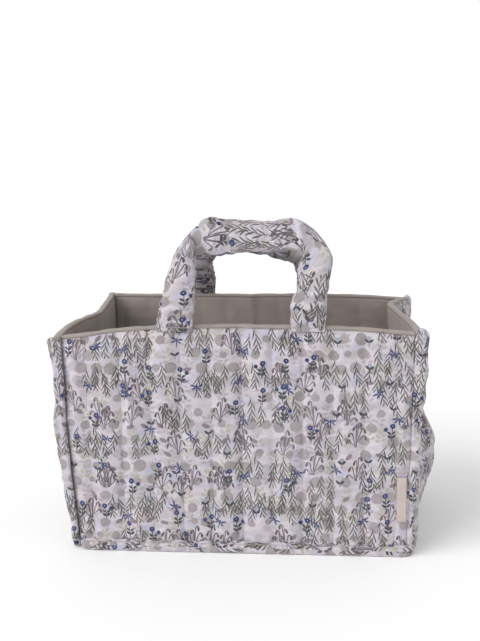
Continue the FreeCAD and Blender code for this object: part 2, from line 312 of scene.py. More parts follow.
class Field:
    """A number that varies over a surface, with ordinary arithmetic made of Math nodes."""

    def __init__(self, tree, socket):
        self.tree = tree
        self.socket = socket

    def math(self, operation, *others, clamp=False):
        node = self.tree.nodes.new("ShaderNodeMath")
        node.operation = operation
        node.use_clamp = clamp
        for place, value in enumerate((self, *others)):
            if isinstance(value, Field):
                self.tree.links.new(value.socket, node.inputs[place])
            else:
                node.inputs[place].default_value = value
        return Field(self.tree, node.outputs[0])

    def __add__(self, other):
        return self.math("ADD", other)

    def __sub__(self, other):
        return self.math("SUBTRACT", other)

    def __rsub__(self, other):
        return self.math("MULTIPLY_ADD", -1.0, other)

    def __mul__(self, other):
        return self.math("MULTIPLY", other)

    def __truediv__(self, other):
        return self.math("DIVIDE", other)

    def __abs__(self):
        return self.math("ABSOLUTE")

    __radd__ = __add__
    __rmul__ = __mul__

    def least(self, other):
        return self.math("MINIMUM", other)

    def most(self, other):
        return self.math("MAXIMUM", other)

    def above(self, other):
        return self.math("GREATER_THAN", other)

    def clamped(self):
        return self.math("ADD", 0.0, clamp=True)


def length_of(across, up):
    return (across * across + up * up).math("SQRT")


def mix_colour(tree, share, first, second):
    node = tree.nodes.new("ShaderNodeMix")
    node.data_type = "RGBA"
    for value, socket in ((share, node.inputs[0]), (first, node.inputs[6]), (second, node.inputs[7])):
        if isinstance(value, Field):
            tree.links.new(value.socket, socket)
        elif isinstance(value, bpy.types.NodeSocket):
            tree.links.new(value, socket)
        else:
            socket.default_value = value
    return node.outputs[2]


def cloth_place(tree):
    """The surface's place on its flat cloth, in millimetres."""
    source = tree.nodes.new("ShaderNodeUVMap")
    source.uv_map = "cloth"
    split = tree.nodes.new("ShaderNodeSeparateXYZ")
    tree.links.new(source.outputs[0], split.inputs[0])
    across = Field(tree, split.outputs[0]) * (1.0 / MM)
    up = Field(tree, split.outputs[1]) * (1.0 / MM)
    return across, up


def noise_field(tree, across, up, size, detail=2.0, seed=0.0):
    join = tree.nodes.new("ShaderNodeCombineXYZ")
    tree.links.new((across / size).socket, join.inputs[0])
    tree.links.new((up / size).socket, join.inputs[1])
    join.inputs[2].default_value = seed
    node = tree.nodes.new("ShaderNodeTexNoise")
    node.inputs["Scale"].default_value = 1.0
    node.inputs["Detail"].default_value = detail
    tree.links.new(join.outputs[0], node.inputs["Vector"])
    return Field(tree, node.outputs[0])


class Scatter:
    """Motifs strewn over the cloth: cells in shifted rows or columns, and one motif moved about in each.

    cell is the size of a cell and room how far a motif may move inside it, both in millimetres.
    x and y are the place measured from the nearest motif's middle. kind, second and third are
    random numbers from 0 to 1 that differ from motif to motif.
    """

    def __init__(self, tree, across, up, cell, room, seed, turn=0.0, by_columns=False):
        u = across / cell[0] + seed * 0.7
        v = up / cell[1] + seed
        if by_columns:
            v = v + self.chances(tree, u.math("FLOOR"), seed + 3.3)[0]
        else:
            u = u + self.chances(tree, v.math("FLOOR"), seed + 3.3)[0]
        row = v.math("FLOOR")
        column = u.math("FLOOR")
        self.kind, self.second, self.third = self.chances(tree, column, row + seed)
        self.fourth, fifth, sixth = self.chances(tree, column + 0.37, row + (seed + 9.1))
        x = (u - column - 0.5) * cell[0] - (fifth - 0.5) * room[0]
        y = (v - row - 0.5) * cell[1] - (sixth - 0.5) * room[1]
        x = x * (self.third.above(0.5) * 2.0 - 1.0)
        if turn:
            angle = (self.second - 0.5) * (2.0 * turn)
            cosine, sine = angle.math("COSINE"), angle.math("SINE")
            x, y = x * cosine + y * sine, y * cosine - x * sine
        self.x = x
        self.y = y

    @staticmethod
    def chances(tree, first, second):
        """Three random numbers for a pair of whole numbers."""
        join = tree.nodes.new("ShaderNodeCombineXYZ")
        for value, socket in ((first, join.inputs[0]), (second, join.inputs[1])):
            if isinstance(value, Field):
                tree.links.new(value.socket, socket)
            else:
                socket.default_value = value
        noise = tree.nodes.new("ShaderNodeTexWhiteNoise")
        noise.noise_dimensions = "2D"
        tree.links.new(join.outputs[0], noise.inputs["Vector"])
        split = tree.nodes.new("ShaderNodeSeparateColor")
        tree.links.new(noise.outputs["Color"], split.inputs[0])
        return [Field(tree, split.outputs[place]) for place in range(3)]

    def one_of(self, start, end):
        """1 for the motifs whose kind lies between start and end, and 0 for the others."""
        return self.kind.above(start) * (1.0 - self.kind.above(end))


# ---------------------------------------------------------------- print motifs, in millimetres
# Each is the distance outside the motif's edge, negative inside.

def nearest_on(x, y, start, end):
    """Share of the way along a line, and the distance from it."""
    run = (end[0] - start[0], end[1] - start[1])
    scale = 1.0 / (run[0] ** 2 + run[1] ** 2)
    before = (start[0] * run[0] + start[1] * run[1]) * scale
    along = ((x * (run[0] * scale) + y * (run[1] * scale)) - before).clamped()
    return along, length_of(x - along * run[0] - start[0], y - along * run[1] - start[1])


def stroke(x, y, start, end, width, tip=0.15):
    """Tapered brush stroke between two points, widest at its start."""
    along, away = nearest_on(x, y, start, end)
    return away + along * (width - tip) - width


def leaf(x, y, start, end, width):
    """Leaf shape between two points, widest in the middle."""
    along, away = nearest_on(x, y, start, end)
    return away - along * (1.0 - along) * (4.0 * width) - 0.12


def fronds(x, y, vary):
    """Three hanging sprays of narrow leaves, side by side at different heights."""
    pitch, slope, spacing = 7.0, 2.0, 9.4
    column = (x / spacing).math("ROUND").most(-1.0).least(1.0)
    step = (column * 2.3 + vary * 6.0).math("SINE")
    y = y + step * 4.0
    x = x - column * spacing - ((y * 0.2 + column * 1.7).math("SINE") * 1.3) - step * y * 0.16
    side = abs(x)
    row = (y + side * slope + x.above(0.0) * (pitch / 2.0)) / pitch
    leaf_line = abs(row - row.math("FLOOR") - 0.5) * (pitch * 0.46)
    share = (side - 2.0) * 0.38
    blade = leaf_line + share * share * 0.6 - 0.68
    reach = ((13.8 - y) * 0.42).least(4.4)
    inside = (side - reach).most(abs(y) - 13.8)
    stem = (side - 0.28).most(abs(y - 0.8) - 12.8)
    return blade.most(inside).least(stem)


def crook(x, y, foot, top, radius, width):
    """Stem from its foot to its top, which bends over to the right into a thicker drooping tip."""
    stem = stroke(x, y, top, foot, width * 0.72, width * 0.42)
    middle = (top[0] + radius, top[1] - 0.3)
    bent = abs(length_of(x - middle[0], y - middle[1]) - radius) - width * 0.85
    arch = bent.most(middle[1] - y - 0.2)
    end = middle[0] + radius
    tip = leaf(x, y, (end - 0.6, middle[1] + 1.2), (end + 0.8, middle[1] - 3.6), width * 1.5)
    return stem.least(arch).least(tip)


def reeds(x, y, vary):
    """Tuft of three bent reeds on each side, lower on one side."""
    y = y + x.above(0.0) * (3.0 + vary * 3.0)
    x = x + y * 0.08
    side = abs(x)
    outer = crook(side, y, (0.5, -11.0), (4.6, 2.6), 1.6, 0.78)
    inner = crook(side, y, (0.2, -11.0), (1.0, 9.4), 1.3, 0.74)
    low_one = crook(side, y, (0.4, -11.0), (6.6, -4.6), 1.4, 0.62)
    return outer.least(inner).least(low_one)


def flower_leaves(x, y, second_one):
    """Upright stem with two pairs of leaves, and sometimes a side stem."""
    side = abs(x)
    stem = stroke(x, y, (0.0, -9.0), (0.9, 4.0), 0.42, 0.36)
    low_leaf = leaf(side, y, (0.2, -6.4), (4.3, -3.0), 1.15)
    high_leaf = leaf(side, y, (0.3, -2.2), (4.0, 0.9), 0.95)
    branch = stroke(x, y, (0.0, -4.6), (-5.4, 1.4), 0.4, 0.34) + (1.0 - second_one) * 9.0
    return stem.least(low_leaf).least(high_leaf).least(branch)


def berry(x, y, second_one):
    """One or two round flowers on top of the stems."""
    right = length_of(x - 1.1, y - 6.0) - 2.75
    left = length_of(x + 5.8, y - 3.0) - 2.1
    return right.least(left + (1.0 - second_one) * 9.0)


def berry_eye(x, y):
    return length_of(x - 1.3, y - 6.2) - 0.8


def seedling(x, y):
    """Short stalk with two leaves."""
    side = abs(x)
    pair = leaf(side, y, (0.1, -2.6), (4.2, 1.2), 1.15)
    return pair.least((side - 0.38).most(abs(y + 3.2) - 2.8))


def dragonfly(x, y):
    """Four slim wings and a long body."""
    side = abs(x)
    upper = leaf(side, y, (0.4, 1.2), (6.6, 3.6), 0.8)
    lower = leaf(side, y, (0.4, 0.8), (5.4, -1.8), 0.75)
    body = stroke(x, y, (0.0, 3.0), (0.8, -6.4), 0.75, 0.3)
    return upper.least(lower).least(body)


def laurel(x, y):
    """Spray of broad pale leaves in pairs."""
    side = abs(x)
    y = y + x.above(0.0) * 1.4
    lowest = leaf(side, y, (0.3, -7.0), (5.8, -5.4), 1.35)
    middle = leaf(side, y, (0.3, -2.6), (5.6, 0.4), 1.3)
    highest = leaf(side, y, (0.3, 2.0), (3.8, 6.6), 1.1)
    return lowest.least(middle).least(highest)


def print_colour(tree, across, up):
    """The meadow print: pebbles and pale sprays, then tall dark motifs, flowers and dragonflies."""
    edge = 0.5

    def paint(under, distance, chosen, colour, strength=1.0):
        mask = (0.5 - distance / edge).clamped()
        return mix_colour(tree, mask * chosen * strength, under, colour)

    wash = noise_field(tree, across, up, 14.0, 1.0, 3.0)
    tint = noise_field(tree, across, up, 24.0, 1.0, 8.0)
    brush = noise_field(tree, across, up, 2.6, 2.0, 5.0)
    pink_or_lilac = mix_colour(tree, ((tint - 0.42) * 6.0).clamped(), GROUND_PINK, GROUND_LILAC)
    ground = mix_colour(tree, ((wash - 0.45) * 6.0).clamped(), pink_or_lilac, GROUND_PALE)
    colour = mix_colour(tree, ((brush - 0.45) * 1.2).clamped(), ground, GROUND_SHADE)
    wobble = (noise_field(tree, across, up, 3.4, 1.0, 2.0) - 0.5) * 2.6

    pale = Scatter(tree, across, up, (14.0, 13.0), (5.0, 5.0), 4.2, 0.6)
    blob = length_of(pale.x * 0.86, pale.y) + wobble - pale.third * 2.2 - 3.6
    colour = paint(colour, blob, pale.one_of(0.0, 0.75), PALE_PEBBLE, 0.7)

    spray = Scatter(tree, across, up, (18.0, 20.0), (5.0, 5.0), 7.9, 0.5, by_columns=True)
    olive_or_mauve = mix_colour(tree, spray.third.above(0.45), OLIVE_SPRAY, MAUVE_SPRAY)
    colour = paint(colour, laurel(spray.x, spray.y), spray.one_of(0.0, 0.8), olive_or_mauve, 0.75)

    stone = Scatter(tree, across, up, (15.5, 15.0), (3.5, 3.5), 11.3, 0.8)
    pebble = length_of(stone.x * 0.94, stone.y) + wobble * 0.5 - stone.third * 2.9 - 3.3
    grey = mix_colour(tree, stone.second, PEBBLE_DARK, PEBBLE_LIGHT)
    streak = (noise_field(tree, across * 0.4, up * 2.4, 3.0, 1.0, 6.0) - 0.4).clamped()
    grey = mix_colour(tree, streak, grey, PALE_PEBBLE)
    colour = paint(colour, pebble, stone.one_of(0.0, 0.56), grey, 0.94)
    pod = length_of(stone.x * 0.52, stone.y) - 2.2
    stripe = abs(stone.y * 0.95 - (stone.y * 0.95).math("ROUND")) - 0.14
    colour = paint(colour, pod, stone.one_of(0.62, 0.76), POD)
    colour = paint(colour, stripe.most(pod + 0.3), stone.one_of(0.62, 0.76), POD_STRIPE)

    for tall in (Scatter(tree, across, up, (31.0, 35.0), (5.0, 8.0), 5.1),
                 Scatter(tree, across, up, (36.0, 33.0), (9.0, 7.0), 1.9, by_columns=True)):
        olive = mix_colour(tree, tall.second, FROND_DARK, FROND_LIGHT)
        plum = mix_colour(tree, tall.second, REED_DARK, REED_LIGHT)
        colour = paint(colour, fronds(tall.x, tall.y, tall.second), tall.one_of(0.0, 0.34), olive)
        colour = paint(colour, reeds(tall.x, tall.y, tall.second), tall.one_of(0.34, 0.66), plum)

    small = Scatter(tree, across, up, (27.0, 25.0), (10.0, 6.0), 8.4, by_columns=True)
    flower = small.one_of(0.0, 0.34)
    paired = small.fourth.above(0.45)
    blue = mix_colour(tree, small.second, BLUE_DARK, BLUE_LIGHT)
    colour = paint(colour, flower_leaves(small.x, small.y, paired), flower, LEAF_DARK)
    colour = paint(colour, berry(small.x, small.y, paired), flower, blue)
    colour = paint(colour, berry_eye(small.x, small.y), flower, BLUE_EYE)
    bud = small.one_of(0.34, 0.62)
    colour = paint(colour, length_of(small.x, small.y - 1.6) - 2.5, bud * small.fourth.above(0.4), BUD)
    colour = paint(colour, seedling(small.x, small.y), bud, LEAF_DARK)

    fly = Scatter(tree, across, up, (50.0, 46.0), (26.0, 24.0), 2.6, 1.3)
    return paint(colour, dragonfly(fly.x, fly.y), fly.one_of(0.12, 1.0), BLUE_LIGHT)


# ---------------------------------------------------------------- materials

def new_material(name):
    material = bpy.data.materials.new(name)
    material.use_nodes = True
    tree = material.node_tree
    surface = tree.nodes["Principled BSDF"]
    return material, tree, surface


def woven_bump(tree, surface, across, up, thread, depth, slub=0.5):
    """Plain weave: crossed threads of one spacing, with slow unevenness."""
    warp = (across * (TAU / thread)).math("SINE")
    weft = (up * (TAU / thread)).math("SINE")
    weave = warp * weft
    uneven = noise_field(tree, across, up, 5.0, 3.0, 1.0)
    height = weave * 0.5 + uneven * slub
    bump = tree.nodes.new("ShaderNodeBump")
    bump.inputs["Strength"].default_value = 1.0
    bump.inputs["Distance"].default_value = depth
    tree.links.new(height.socket, bump.inputs["Height"])
    tree.links.new(bump.outputs[0], surface.inputs["Normal"])
    return weave


def fabric_finish(surface, roughness, sheen):
    surface.inputs["Roughness"].default_value = roughness
    surface.inputs["Sheen Weight"].default_value = sheen
    surface.inputs["Sheen Roughness"].default_value = 0.5
    surface.inputs["Specular IOR Level"].default_value = 0.15


# Print palette, sRGB.
GROUND_PINK = linear("c3babf")
GROUND_LILAC = linear("b6b3c2")
GROUND_PALE = linear("c6c0c7")
GROUND_SHADE = linear("a8a0a8")
PALE_PEBBLE = linear("aea8ab")
PEBBLE_DARK = linear("8a8485")
PEBBLE_LIGHT = linear("9b9395")
OLIVE_SPRAY = linear("a5a18b")
MAUVE_SPRAY = linear("a1979d")
POD = linear("8f838b")
POD_STRIPE = linear("665d66")
FROND_DARK = linear("4b4c45")
FROND_LIGHT = linear("63615b")
REED_DARK = linear("52484f")
REED_LIGHT = linear("6a5f68")
BLUE_DARK = linear("303757")
BLUE_LIGHT = linear("404970")
BLUE_EYE = linear("7f87ac")
BUD = linear("9798a4")
LEAF_DARK = linear("43474a")


def printed_cotton(name):
    material, tree, surface = new_material(name)
    across, up = cloth_place(tree)
    tree.links.new(print_colour(tree, across, up), surface.inputs["Base Color"])
    woven_bump(tree, surface, across, up, 0.9, 0.12 * MM)
    fabric_finish(surface, 0.86, 0.2)
    return material


def plain_cotton(name, light, dark, thread=0.9, depth=0.15 * MM):
    material, tree, surface = new_material(name)
    across, up = cloth_place(tree)
    weave = woven_bump(tree, surface, across, up, thread, depth)
    cloudy = noise_field(tree, across, up, 22.0, 3.0, 4.0)
    share = (cloudy + weave * 0.12).clamped()
    tree.links.new(mix_colour(tree, share, linear(light), linear(dark)), surface.inputs["Base Color"])
    fabric_finish(surface, 0.88, 0.15)
    return material


def thread_material(name, code):
    """Twisted sewing thread, with painted shade in the grooves of its twist."""
    material, tree, surface = new_material(name)
    across, up = cloth_place(tree)
    twist = ((across + up) * (TAU / 0.8)).math("SINE")
    share = (twist * 0.3 + 0.5).clamped()
    light = linear(code)
    # dark is the same thread colour at 0.7 strength: the bands it makes along each stitch are painted shade
    # in the grooves of the twist
    dark = [part * 0.7 for part in light[:3]] + [1.0]
    tree.links.new(mix_colour(tree, share, light, dark), surface.inputs["Base Color"])
    fabric_finish(surface, 0.6, 0.1)
    return material


def board_material(name):
    material, tree, surface = new_material(name)
    source = tree.nodes.new("ShaderNodeTexCoord")
    split = tree.nodes.new("ShaderNodeSeparateXYZ")
    tree.links.new(source.outputs["Object"], split.inputs[0])
    across = Field(tree, split.outputs[0]) * (1.0 / MM)
    up = Field(tree, split.outputs[1]) * (1.0 / MM)
    grain = noise_field(tree, across, up, 2.0, 3.0, 6.0)
    tree.links.new(mix_colour(tree, grain, linear("cfcdc8"), linear("bdbab4")), surface.inputs["Base Color"])
    surface.inputs["Roughness"].default_value = 0.6
    return material


PRINT = printed_cotton("printed_cotton")
LINING = plain_cotton("lining_cotton", "a59c97", "8f8681")
THREAD = thread_material("seam_thread", "b7aead")
LINING_THREAD = thread_material("lining_thread", "9b918c")
RIBBON = plain_cotton("ribbon", "c3b6b1", "b3a5a0", 1.2, 0.2 * MM)
BOARD = board_material("board")


# ---------------------------------------------------------------- walls

# How far outside the CAD seam each upright seam stands, and how wide the strip beside it is, at the
# heights of STRIP_HEIGHTS. The strips are soft, so no two corners are alike.
STRIP_HEIGHTS = np.array([0.0, 50.0, 90.0, 143.0, 178.0, 203.0, 229.0]) * MM
SEAM_OUT = {
    ("front", -1): np.array([9.5, 12.0, 14.0, 16.0, 15.0, 15.5, 15.5]) * MM,
    ("front", 1): np.array([4.0, 4.5, 5.0, 5.5, 6.0, 6.0, 6.0]) * MM,
    ("back", -1): np.array([-1.0, -1.0, -1.0, -1.5, -1.5, -2.0, -2.0]) * MM,
    ("back", 1): np.array([1.0, 2.0, 3.0, 4.0, 5.0, 5.5, 6.0]) * MM,
}
STRIP_WIDTH = {
    ("front", -1): np.array([4.0, 9.5, 11.5, 13.0, 10.0, 11.5, 16.5]) * MM,
    ("front", 1): np.array([5.0, 6.5, 8.0, 9.0, 13.0, 13.5, 13.5]) * MM,
    ("back", -1): np.array([7.0, 9.0, 10.0, 10.5, 9.0, 8.0, 8.0]) * MM,
    ("back", 1): np.array([6.0, 8.0, 9.5, 11.0, 10.0, 11.0, 11.0]) * MM,
}


def seam_out(face, side_x, height):
    """How far the upright seam of a corner stands from the middle plane."""
    straight = lerp(BASE_SEAM_X, SEAM_X, height / RIM_Z)
    return straight + np.interp(height, STRIP_HEIGHTS, SEAM_OUT[(face, side_x)])


def strip_width(face, side_x, height):
    return np.interp(height, STRIP_HEIGHTS, STRIP_WIDTH[(face, side_x)])


class Wall:
    """One upright wall: where its outer face lies, for a place along it and a height."""

    def __init__(self, face, side, is_end, left_drop, right_drop):
        self.face = face
        self.side = side
        self.is_end = is_end
        self.drops = (left_drop, right_drop)
        self.half = END_Y if is_end else SEAM_X

    def rim(self, along):
        """Height of the top of the printed cloth: highest in the middle, lower at the corners."""
        share = along / self.half
        left, right = self.drops
        drop = np.where(share < 0, left, right)
        crown = 2.5 * MM * share ** 2
        return RIM_Z + 1.5 * MM - RIM_BAND - crown - drop * np.abs(share) ** 5

    def inset(self, along, height):
        """How far the outer face lies inside the flat plane of the wall."""
        share = height / RIM_Z
        soft = 1.6 * MM * ripple(along, height, 150 * MM, 40 + len(self.face))
        if not self.is_end:
            dip = lerp(3.0 * MM, 6.0 * MM, share)
            slope = 1.0 - np.abs(along) / self.half
            reach = np.where(along < 0, 9 * MM, 14 * MM)
            edge = 1.0 - smooth(self.half - np.abs(along), 0.0, reach)
            tuck = np.where((along < 0) & (self.face == "front"), 4.2 * MM, 0.6 * MM)
            centre = 2.6 * MM * np.exp(-np.abs(along) / np.where(along < 0, 9 * MM, 2.5 * MM))
            return dip * slope + tuck * edge + soft * slope + centre
        depth, place = (25.0 * MM, 30 * MM) if self.face == "right" else (21.0 * MM, -22 * MM)
        before = (along + self.half) / (place + self.half)
        after = (self.half - along) / (self.half - place)
        fold = np.minimum(before, after)
        fold = fold - 0.06 * np.exp(-((fold - 1.0) / 0.07) ** 2)
        return depth * share ** 1.1 * fold + soft * np.clip(fold * 2.0, 0.0, 1.0)

    def points(self, along, height, outwards):
        """Points at places along the wall and heights, moved outwards from its outer face."""
        share = height / RIM_Z
        depth = outwards - self.inset(along, height)
        if self.is_end:
            x = self.side * (self.plane(along, height) + depth)
            y = along
        else:
            inner = 150 * MM
            sign = np.where(along < 0, -1, 1)
            edge = np.where(along < 0, seam_out(self.face, -1, height), seam_out(self.face, 1, height))
            beyond = np.clip((np.abs(along) - inner) / (self.half - inner), 0.0, None)
            x = np.where(beyond > 0, sign * lerp(inner, edge, beyond), along)
            y = self.side * (WALL_Y + lerp(1.0 * MM, 0.0, share) + depth)
        return np.stack([x, y, height], axis=-1)

    def plane(self, along, height):
        """Where an end wall's flat plane stands, between its two corners."""
        front = seam_out("front", self.side, height)
        back = seam_out("back", self.side, height)
        return lerp(front, back, (along / self.half + 1.0) / 2.0) + END_X - SEAM_X - 1.0 * MM

    def grid(self, step, bottom):
        """Places along the wall and heights, on a grid that follows the rim, and which columns are seams."""
        lines = np.array([-self.half] + quilt_lines(self.half) + [self.half])
        columns = []
        for start, end in zip(lines, lines[1:]):
            columns.extend(np.linspace(start, end, max(2, int(round((end - start) / step))), endpoint=False))
        along = np.array(columns + [self.half])
        seam = np.min(np.abs(along[:, None] - lines), axis=1) < 0.01 * MM
        rows = int(round((RIM_Z - bottom) / step)) + 1
        share = np.linspace(0.0, 1.0, rows)[:, None]
        height = bottom + share * (self.rim(along)[None, :] - bottom)
        return np.broadcast_to(along, height.shape), height, seam


def quilt_lines(half):
    """Places of the upright quilting seams on a wall of that half length."""
    count = int((half - 8 * MM) / QUILT_PITCH)
    return [line * QUILT_PITCH for line in range(-count, count + 1)]


def under_label(along, height, wall):
    """1 where the label lies on the front wall, so that the wall is flat there."""
    if wall.face != "front":
        return np.zeros(along.shape)
    label_low, label_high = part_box("side_label")
    across = smooth(along, label_low.x - 12 * MM, label_low.x - 4 * MM)
    return across * smooth(height, label_low.z - 10 * MM, label_low.z) * (
        1.0 - smooth(height, label_high.z, label_high.z + 10 * MM))


def quilting(along, height, wall, depth, seed):
    """Puffed channels between the upright quilting seams, with puckers beside each seam."""
    lines = np.array([-wall.half] + quilt_lines(wall.half) + [wall.half])
    channel = np.clip(np.searchsorted(lines, along, side="right"), 1, len(lines) - 1)
    width = lines[channel] - lines[channel - 1]
    place = np.clip((along - lines[channel - 1]) / width, 0.0, 1.0)
    share = np.minimum(place, 1.0 - place) * 2.0 * np.minimum(width / QUILT_PITCH, 1.0)
    puff = np.sin(math.pi * place ** 0.72) ** 0.6 * np.minimum(width / QUILT_PITCH, 1.0) ** 0.5
    to_edge = np.minimum(wall.rim(along) - height, height - 2 * MM)
    closing = smooth(to_edge, -1 * MM, 9 * MM) * 0.85 + 0.15
    pucker = ripple(along * 0.3, height, 10 * MM, seed) * np.exp(-share * 3.0) * np.sqrt(share) * 2.2
    drape = ripple(along, height * 0.5, 42 * MM, seed + 1)
    swelling = (depth * puff * (1.0 + 0.25 * drape) + 0.6 * MM * pucker) * closing
    return swelling * (1.0 - 0.92 * under_label(along, height, wall))


WALLS = [
    Wall("front", -1, False, 9.0 * MM, 4.0 * MM),
    Wall("back", 1, False, -2.5 * MM, 3.0 * MM),
    Wall("left", -1, True, 9.0 * MM, -2.5 * MM),
    Wall("right", 1, True, 4.0 * MM, 3.0 * MM),
]
CLOTH_OFFSETS = {"front": (0.0, 0.0), "back": (0.62, 0.31), "left": (1.27, 0.12), "right": (1.93, 0.44)}


def cloth_of(points, wall, flip=1.0):
    """Places on the flat cloth for points of a wall."""
    shift_x, shift_y = CLOTH_OFFSETS[wall.face]
    across = points[..., 1] if wall.is_end else points[..., 0]
    return np.stack([flip * across + shift_x, points[..., 2] + shift_y], axis=-1)


def make_wall(wall, seed):
    middle = -WALL_THICKNESS / 2
    along, height, seam = wall.grid(2.4 * MM, FLOOR_Z + 2.0 * MM)
    front = wall.points(along, height, quilting(along, height, wall, 3.0 * MM, seed))
    rows, columns = along.shape
    pinned = np.broadcast_to(seam, along.shape) | (under_label(along, height, wall) > 0.5)
    pinned[:2] = True
    pinned[-2:] = True
    faces = grid_faces(rows, columns)
    turned = (wall.side > 0) != wall.is_end
    if turned:
        faces = [face[::-1] for face in faces]
    front = swell(front, faces, pinned.ravel(), 0.6, 0.05, 2.2 * MM)
    back = wall.points(along, height, middle + PLY_GAP)
    flip = -1.0 if turned else 1.0
    shell = sheet_mesh(f"{wall.face}_quilted_shell", front, back, cloth_of(front, wall, flip), PRINT)
    face_outwards(shell)
    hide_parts(f"{wall.face}_shell", f"{wall.face}_wadding")
    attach(shell, "bag")
    outwards = (wall.side, 0, 0) if wall.is_end else (0, wall.side, 0)
    inner_seams = np.flatnonzero(seam)[1:-1]
    sewn = [front[2:-2, column] for column in inner_seams]
    thread = stitches(f"{wall.face}_quilt_thread", sewn, [outwards] * len(sewn), THREAD)
    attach(thread, "bag")

    along, height, _ = wall.grid(3.0 * MM, BASE_Z - 1.5 * MM)
    puff = quilting(along, height, wall, 1.1 * MM, seed + 5)
    front = wall.points(along, height, middle - PLY_GAP)
    back = wall.points(along, height, -WALL_THICKNESS - puff + 0.6 * MM)
    lining = sheet_mesh(f"{wall.face}_quilted_lining", front, back, cloth_of(front, wall), LINING)
    face_outwards(lining)
    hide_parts(f"{wall.face}_lining")
    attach(lining, "bag")


def rounded_section(half_width, half_height, power=2.6, steps=16):
    """Closed soft rectangle of points (across, up)."""
    angles = np.arange(steps) * TAU / steps
    cosine, sine = np.cos(angles), np.sin(angles)
    across = np.sign(cosine) * np.abs(cosine) ** (2 / power) * half_width
    up = np.sign(sine) * np.abs(sine) ** (2 / power) * half_height
    return across, up


def make_rim_band(wall, seed):
    """Lining-coloured band folded over the top edge of a wall."""
    reach = wall.half + (4.0 * MM if wall.is_end else 0.0)
    along = np.linspace(-reach, reach, int(2 * reach / (2.5 * MM)))
    clipped = np.clip(along, -wall.half, wall.half)
    steps = 18
    across, up = rounded_section(WALL_THICKNESS / 2 + 0.2 * MM, RIM_BAND / 2, 2.8, steps)
    plump = 1.0 + 0.10 * ripple(along, 0.0, 17 * MM, seed)[:, None]
    height = wall.rim(clipped)[:, None] + RIM_BAND / 2 - 0.6 * MM + up[None, :] * plump
    out = -WALL_THICKNESS / 2 + across[None, :] * plump + 0.3 * MM
    rings = wall.points(np.broadcast_to(clipped[:, None], height.shape), height, out)
    rings[..., 1 if wall.is_end else 0] += (along - clipped)[:, None]
    girth = np.linspace(0.0, 2 * (WALL_THICKNESS + RIM_BAND), steps + 1)
    cloth = np.stack(np.broadcast_arrays(along[:, None], girth[None, :]), axis=-1)
    band = face_outwards(tube_mesh(f"rim_band_{wall.face}", rings, cloth, LINING))
    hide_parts(f"rim_binding_{wall.face}")
    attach(band, "bag")
    inside = np.linspace(-wall.half + 1 * MM, wall.half - 1 * MM, 150)
    outwards = np.array((wall.side, 0, 0) if wall.is_end else (0, wall.side, 0))
    outer_row = wall.points(inside, wall.rim(inside) + 0.9 * MM, 0.75 * MM)
    inner_row = wall.points(inside, wall.rim(inside) + 0.9 * MM, -WALL_THICKNESS - 0.25 * MM)
    sewn = stitches(f"rim_thread_{wall.face}", [outer_row, inner_row], [outwards, -outwards],
                    LINING_THREAD, 2.8 * MM)
    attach(sewn, "bag")


for number, wall in enumerate(WALLS):
    make_wall(wall, 100 + 10 * number)
    make_rim_band(wall, 200 + number)


# ---------------------------------------------------------------- corner and foot bindings

def beside_label(height):
    """1 at the label's heights, fading to 0 above and below."""
    label_low, label_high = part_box("side_label")
    rising = smooth(height, label_low.z - 9 * MM, label_low.z - 1 * MM)
    return rising * (1.0 - smooth(height, label_high.z + 1 * MM, label_high.z + 9 * MM))


def make_corner(face, side_x, top, seed):
    """Folded binding strip along an upright corner seam, a little puckered."""
    side_y = -1 if face == "front" else 1
    name = f"{face}_{'left' if side_x < 0 else 'right'}"
    bottom = high("base_binding").z - 3.0 * MM
    height = np.linspace(bottom, top, 110)
    steps = 28
    share = (height - bottom) / (top - bottom)
    inner = seam_out(face, side_x, height) - 0.5 * MM
    width = strip_width(face, side_x, height) + 0.7 * MM * ripple(height, 0.0, 21 * MM, seed)
    closing = np.sqrt(np.clip(1.0 - ((share - 0.5) / 0.5) ** 36, 0.03, 1.0))
    half_width = width / 2 * (0.55 + 0.45 * closing)
    pressed = beside_label(height) if name == "front_right" else height * 0
    half_thickness = 2.9 * MM * closing * (1.0 + 0.22 * ripple(height, 0.0, 14 * MM, seed + 1))
    half_thickness = half_thickness * (1.0 - 0.4 * pressed)
    middle = inner + width / 2
    across, up = rounded_section(1.0, 1.0, 2.6, steps)
    x = side_x * (middle[:, None] + half_width[:, None] * across)
    crumple = 0.6 * MM * ripple(height[:, None], across[None, :] * 10 * MM, 12 * MM, seed + 2)
    turned = 1.2 * MM * across[None, :] * ripple(height, 0.0, 60 * MM, seed + 3)[:, None]
    plane = WALL_Y - 1.0 * MM + lerp(1.0 * MM, 0.0, share)[:, None] - 1.3 * MM * pressed[:, None]
    y = side_y * (plane + half_thickness[:, None] * up + (crumple + turned) * (1.0 - 0.8 * pressed[:, None]))
    z = height[:, None] - 2.2 * MM * (across[None, :] ** 2) * smooth(share, 0.97, 1.0)[:, None]
    rings = np.stack([x, y, np.broadcast_to(z, x.shape)], axis=-1)
    shift_x, shift_y = CLOTH_OFFSETS[face]
    flip = -1.0 if face == "back" else 1.0
    laid = np.concatenate([x, x[:, :1]], axis=1) * flip + shift_x + (0.083 if side_x < 0 else 0.0)
    cloth = np.stack(np.broadcast_arrays(laid, height[:, None] + shift_y), axis=-1)
    strip = face_outwards(tube_mesh(f"corner_strip_{name}", rings, cloth, PRINT))
    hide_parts(f"corner_binding_{name}")
    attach(strip, "bag")


make_corner("front", -1, RIM_Z - 11.0 * MM, 300)
make_corner("front", 1, RIM_Z - 1.0 * MM, 307)
make_corner("back", -1, RIM_Z + 0.8 * MM, 314)
make_corner("back", 1, RIM_Z - 2.0 * MM, 321)


